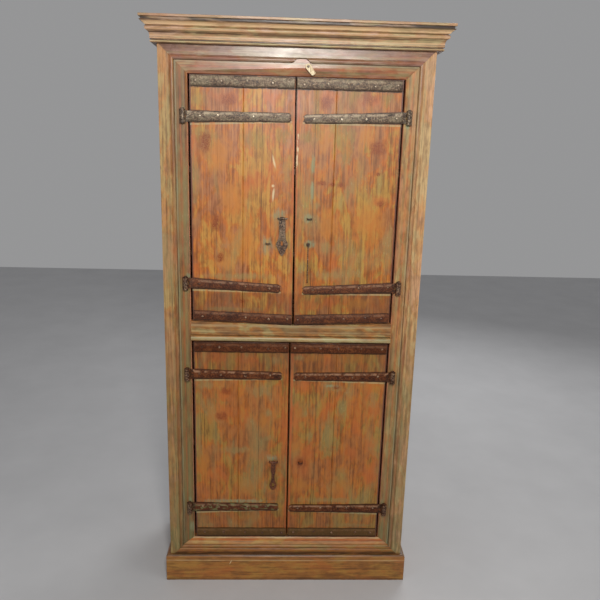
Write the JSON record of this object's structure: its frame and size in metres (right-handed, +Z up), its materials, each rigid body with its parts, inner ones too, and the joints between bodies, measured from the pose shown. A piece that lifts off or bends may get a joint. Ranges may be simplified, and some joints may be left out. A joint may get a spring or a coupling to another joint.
{
  "type": "tall cupboard",
  "caption": "Tall free-standing wooden cupboard with upper and lower pairs of hinged plank doors, iron straps, hasps and a moulded cornice.",
  "frame": {"origin": "centre of the footprint on the floor", "axes": "+Z up, X across the front, -Y is the front with the doors"},
  "size_m": [1.001, 0.468, 2.058],
  "materials": {
    "back_planks": "aged brown wood",
    "bottom_board": "aged brown wood",
    "button_nail": "forged iron, dark and worn, with rust",
    "cornice_front": "worn brown wood with old green paint in its grooves",
    "cornice_left": "worn brown wood with old green paint in its grooves",
    "cornice_rail": "aged brown wood",
    "cornice_right": "worn brown wood with old green paint in its grooves",
    "hinge_eyes": "forged iron, dark and worn, with rust",
    "hinge_pins": "forged iron, dark and worn, with rust",
    "hook": "forged iron, dark and worn, with rust",
    "hook_nail": "forged iron, dark and worn, with rust",
    "inner_head": "worn brown wood with old green paint in its grooves",
    "inner_jamb_left": "worn brown wood with old green paint in its grooves",
    "inner_jamb_right": "worn brown wood with old green paint in its grooves",
    "inner_sill": "worn brown wood with old green paint in its grooves",
    "lower_hasp": "forged iron, dark and worn, with rust",
    "lower_left_battens": "aged brown wood",
    "lower_left_edge_straps": "forged iron, dark and worn, with rust",
    "lower_left_lower_hinge_strap": "forged iron, dark and worn, with rust",
    "lower_left_planks": "worn orange-brown wood with old green paint in the grain",
    "lower_left_staple": "forged iron, dark and worn, with rust",
    "lower_left_upper_hinge_strap": "forged iron, dark and worn, with rust",
    "lower_right_battens": "aged brown wood",
    "lower_right_catch": "forged iron, dark and worn, with rust",
    "lower_right_edge_straps": "forged iron, dark and worn, with rust",
    "lower_right_lower_hinge_strap": "forged iron, dark and worn, with rust",
    "lower_right_planks": "worn orange-brown wood with old green paint in the grain",
    "lower_right_upper_hinge_strap": "forged iron, dark and worn, with rust",
    "lower_shelf": "aged brown wood",
    "mid_rail": "worn brown wood with old green paint in its grooves",
    "middle_board": "aged brown wood",
    "outer_head": "worn brown wood with old green paint in its grooves",
    "outer_sill": "worn brown wood with old green paint in its grooves",
    "outer_stile_left": "worn brown wood with old green paint in its grooves",
    "outer_stile_right": "worn brown wood with old green paint in its grooves",
    "plinth_blocks": "aged brown wood",
    "plinth_front": "worn brown wood with old green paint in its grooves",
    "plinth_left": "worn brown wood with old green paint in its grooves",
    "plinth_right": "worn brown wood with old green paint in its grooves",
    "shelf_cleats": "aged brown wood",
    "side_left": "aged brown wood",
    "side_right": "aged brown wood",
    "top_board": "worn brown wood with old green paint in its grooves",
    "turn_button": "pale bare wood",
    "upper_hasp": "forged iron, dark and worn, with rust",
    "upper_left_battens": "aged brown wood",
    "upper_left_edge_straps": "forged iron, dark and worn, with rust",
    "upper_left_lower_hinge_strap": "forged iron, dark and worn, with rust",
    "upper_left_planks": "worn orange-brown wood with old green paint in the grain",
    "upper_left_staples": "forged iron, dark and worn, with rust",
    "upper_left_upper_hinge_strap": "forged iron, dark and worn, with rust",
    "upper_right_battens": "aged brown wood",
    "upper_right_catch": "forged iron, dark and worn, with rust",
    "upper_right_edge_straps": "forged iron, dark and worn, with rust",
    "upper_right_lower_hinge_strap": "forged iron, dark and worn, with rust",
    "upper_right_planks": "worn orange-brown wood with old green paint in the grain",
    "upper_right_upper_hinge_strap": "forged iron, dark and worn, with rust",
    "upper_shelf_high": "aged brown wood",
    "upper_shelf_low": "aged brown wood"
  },
  "bodies": {
    "case": {"back_planks": "back_planks", "bottom_board": "bottom_board", "button_nail": "button_nail", "cornice_front": "cornice_front", "cornice_left": "cornice_left", "cornice_rail": "cornice_rail", "cornice_right": "cornice_right", "hinge_eyes": "hinge_eyes", "hinge_pins": "hinge_pins", "inner_head": "inner_head", "inner_jamb_left": "inner_jamb_left", "inner_jamb_right": "inner_jamb_right", "inner_sill": "inner_sill", "lower_shelf": "lower_shelf", "mid_rail": "mid_rail", "middle_board": "middle_board", "outer_head": "outer_head", "outer_sill": "outer_sill", "outer_stile_left": "outer_stile_left", "outer_stile_right": "outer_stile_right", "plinth_blocks": "plinth_blocks", "plinth_front": "plinth_front", "plinth_left": "plinth_left", "plinth_right": "plinth_right", "shelf_cleats": "shelf_cleats", "side_left": "side_left", "side_right": "side_right", "top_board": "top_board", "upper_shelf_high": "upper_shelf_high", "upper_shelf_low": "upper_shelf_low"},
    "upper_left_door": {"upper_left_battens": "upper_left_battens", "upper_left_edge_straps": "upper_left_edge_straps", "upper_left_lower_hinge_strap": "upper_left_lower_hinge_strap", "upper_left_planks": "upper_left_planks", "upper_left_staples": "upper_left_staples", "upper_left_upper_hinge_strap": "upper_left_upper_hinge_strap"},
    "upper_right_door": {"hook_nail": "hook_nail", "upper_right_battens": "upper_right_battens", "upper_right_catch": "upper_right_catch", "upper_right_edge_straps": "upper_right_edge_straps", "upper_right_lower_hinge_strap": "upper_right_lower_hinge_strap", "upper_right_planks": "upper_right_planks", "upper_right_upper_hinge_strap": "upper_right_upper_hinge_strap"},
    "lower_left_door": {"lower_left_battens": "lower_left_battens", "lower_left_edge_straps": "lower_left_edge_straps", "lower_left_lower_hinge_strap": "lower_left_lower_hinge_strap", "lower_left_planks": "lower_left_planks", "lower_left_staple": "lower_left_staple", "lower_left_upper_hinge_strap": "lower_left_upper_hinge_strap"},
    "lower_right_door": {"lower_right_battens": "lower_right_battens", "lower_right_catch": "lower_right_catch", "lower_right_edge_straps": "lower_right_edge_straps", "lower_right_lower_hinge_strap": "lower_right_lower_hinge_strap", "lower_right_planks": "lower_right_planks", "lower_right_upper_hinge_strap": "lower_right_upper_hinge_strap"},
    "upper_hasp_iron": {"upper_hasp": "upper_hasp"},
    "lower_hasp_iron": {"lower_hasp": "lower_hasp"},
    "hook_iron": {"hook": "hook"},
    "button": {"turn_button": "turn_button"}
  },
  "joints": [
    {"name": "upper_left_hinge", "type": "hinge", "parent": "case", "child": "upper_left_door", "pos_m": [-0.3753, -0.1865, 1.47], "axis": [0, 0, -1], "range_deg": [0, 150]},
    {"name": "upper_right_hinge", "type": "hinge", "parent": "case", "child": "upper_right_door", "pos_m": [0.3753, -0.1865, 1.47], "axis": [0, 0, 1], "range_deg": [0, 150]},
    {"name": "lower_left_hinge", "type": "hinge", "parent": "case", "child": "lower_left_door", "pos_m": [-0.3753, -0.1865, 0.58], "axis": [0, 0, -1], "range_deg": [0, 150]},
    {"name": "lower_right_hinge", "type": "hinge", "parent": "case", "child": "lower_right_door", "pos_m": [0.3753, -0.1865, 0.58], "axis": [0, 0, 1], "range_deg": [0, 150]},
    {"name": "upper_hasp_lift", "type": "hinge", "parent": "upper_left_door", "child": "upper_hasp_iron", "pos_m": [-0.04, -0.1845, 1.42656], "axis": [-1, 0, 0], "range_deg": [0, 150]},
    {"name": "lower_hasp_lift", "type": "hinge", "parent": "lower_left_door", "child": "lower_hasp_iron", "pos_m": [-0.057, -0.1845, 0.50316], "axis": [-1, 0, 0], "range_deg": [0, 150]},
    {"name": "hook_swing", "type": "hinge", "parent": "upper_right_door", "child": "hook_iron", "pos_m": [0.051, -0.1855, 1.3385], "axis": [0, 1, 0], "range_deg": [-60, 80]},
    {"name": "button_turn", "type": "hinge", "parent": "case", "child": "button", "pos_m": [0.035, -0.186, 1.921], "axis": [0, 1, 0], "range_deg": [-45, 45]}
  ]
}
